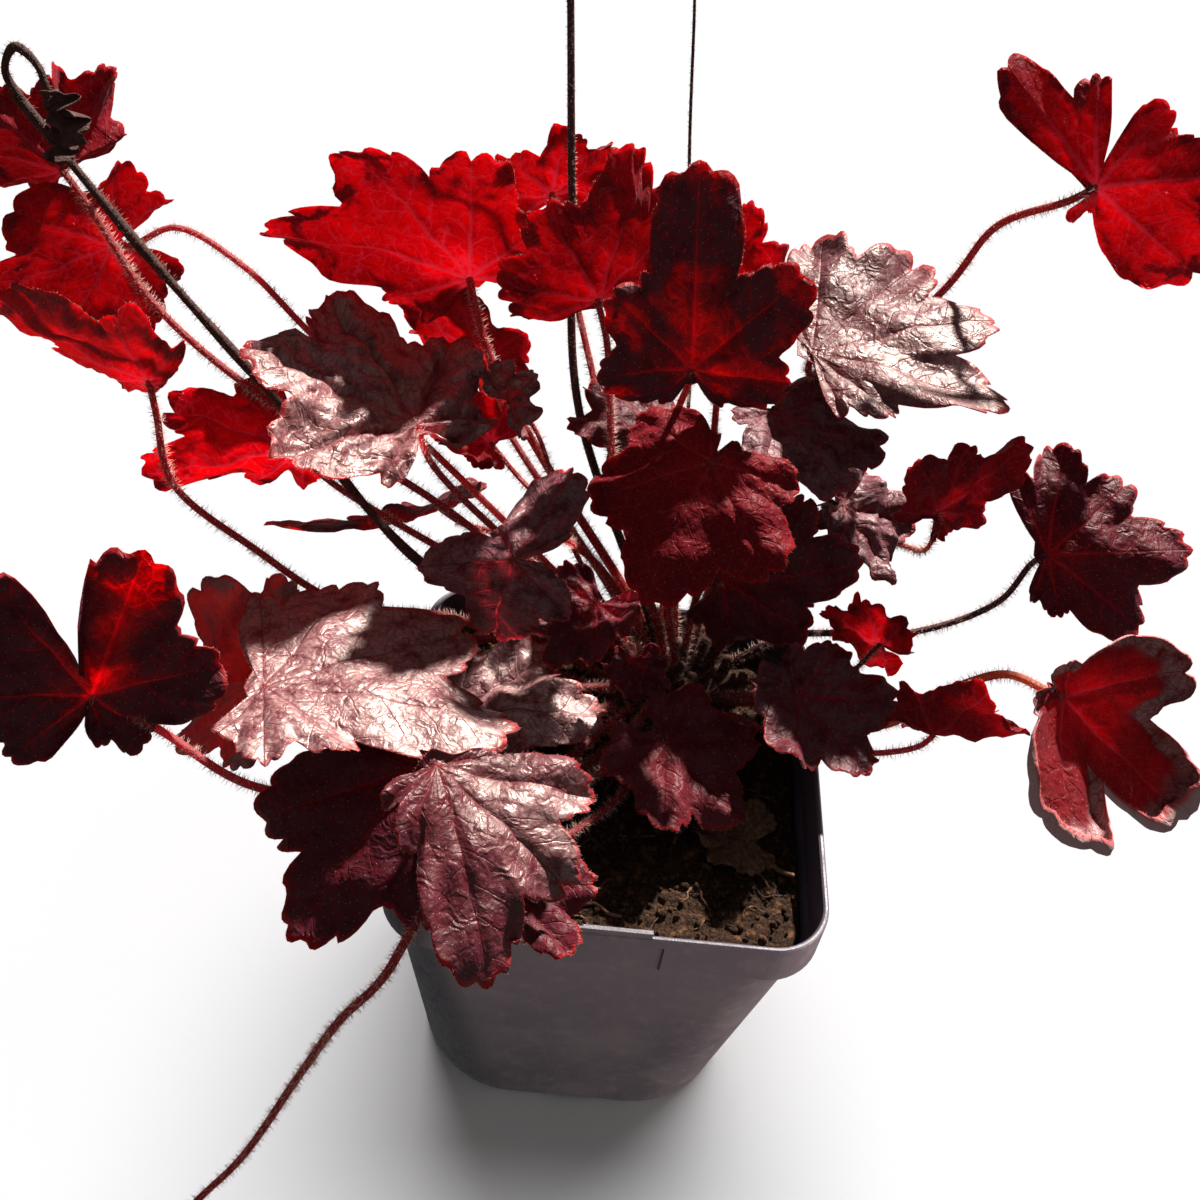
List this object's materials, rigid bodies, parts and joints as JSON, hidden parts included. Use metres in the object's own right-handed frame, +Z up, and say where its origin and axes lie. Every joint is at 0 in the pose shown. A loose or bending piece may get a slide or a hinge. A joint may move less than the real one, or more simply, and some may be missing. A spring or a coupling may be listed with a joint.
{
  "type": "heuchera plant in a nursery pot",
  "caption": "Potted heuchera (coral bells): lobed, toothed burgundy leaves on long hairy petioles round a woody crown, thin flower stalks, in a square tapered nursery pot of compost.",
  "frame": {"origin": "centre of the pot's base, on the surface it stands on", "axes": "+Z up; -Y is the front of the pot, with its label recess; +X to the right seen from the front"},
  "size_m": [0.3944, 0.3436, 0.326],
  "materials": {
    "leaf_dark": "burgundy upper face of a leaf, faint gloss, red veins",
    "leaf_glow": "leaf lit from behind, glowing red with darker veins",
    "leaf_pink": "leaf with a waxy gloss that turns pink-white in the sun",
    "withered_leaf": "shrivelled dark brown leaf on a dark bent stem",
    "dry_leaf": "dry brown leaf",
    "stalk": "smooth dark red flower stalk with small buds",
    "crown_wood": "brown woody crown with old leaf bases",
    "soil": "moist dark potting compost with roots and crumbs",
    "pot_plastic": "thin dark grey moulded plastic with a satin gloss"
  },
  "bodies": {
    "root": {"leaf_back_left_large": "leaf_glow", "leaf_back_left_low": "leaf_glow", "leaf_back_high": "leaf_glow", "leaf_back_centre": "leaf_glow", "leaf_upper_centre": "leaf_dark", "leaf_upper_rear": "leaf_glow", "leaf_upper_right": "leaf_pink", "leaf_right_drooping": "leaf_dark", "leaf_right_upright": "leaf_glow", "leaf_far_right": "leaf_dark", "leaf_far_right_curled": "leaf_glow", "leaf_low_right_small": "leaf_glow", "leaf_top_right": "leaf_glow", "leaf_top_left": "leaf_glow", "leaf_left_high": "leaf_glow", "leaf_left_folded": "leaf_glow", "leaf_puckered": "leaf_pink", "leaf_left_under": "leaf_glow", "leaf_left_level": "leaf_dark", "leaf_low_left": "leaf_glow", "leaf_low_left_rear": "leaf_pink", "leaf_front_left_glossy": "leaf_pink", "leaf_front_pale": "leaf_pink", "leaf_front_left_large": "leaf_dark", "leaf_front_hanging": "leaf_pink", "leaf_front_low": "leaf_dark", "leaf_inner_left": "leaf_dark", "leaf_inner_centre": "leaf_glow", "leaf_inner_right": "leaf_dark", "leaf_right_spotted": "leaf_dark", "leaf_front_small": "leaf_dark", "leaf_front_right": "leaf_dark", "leaf_right_tiny": "leaf_glow", "leaf_inner_cupped": "leaf_dark", "leaf_inner_shaded": "leaf_dark", "leaf_inner_pale": "leaf_pink", "leaf_crown_brown": "leaf_dark", "leaf_inner_red": "leaf_glow", "leaf_withered": "withered_leaf", "leaf_trailing": "leaf_dark", "flower_stalk": "stalk", "flower_stalk_thin": "stalk", "crown": "crown_wood", "leaf_dry_on_soil": "dry_leaf", "soil": "soil", "pot": "pot_plastic"}
  },
  "joints": []
}
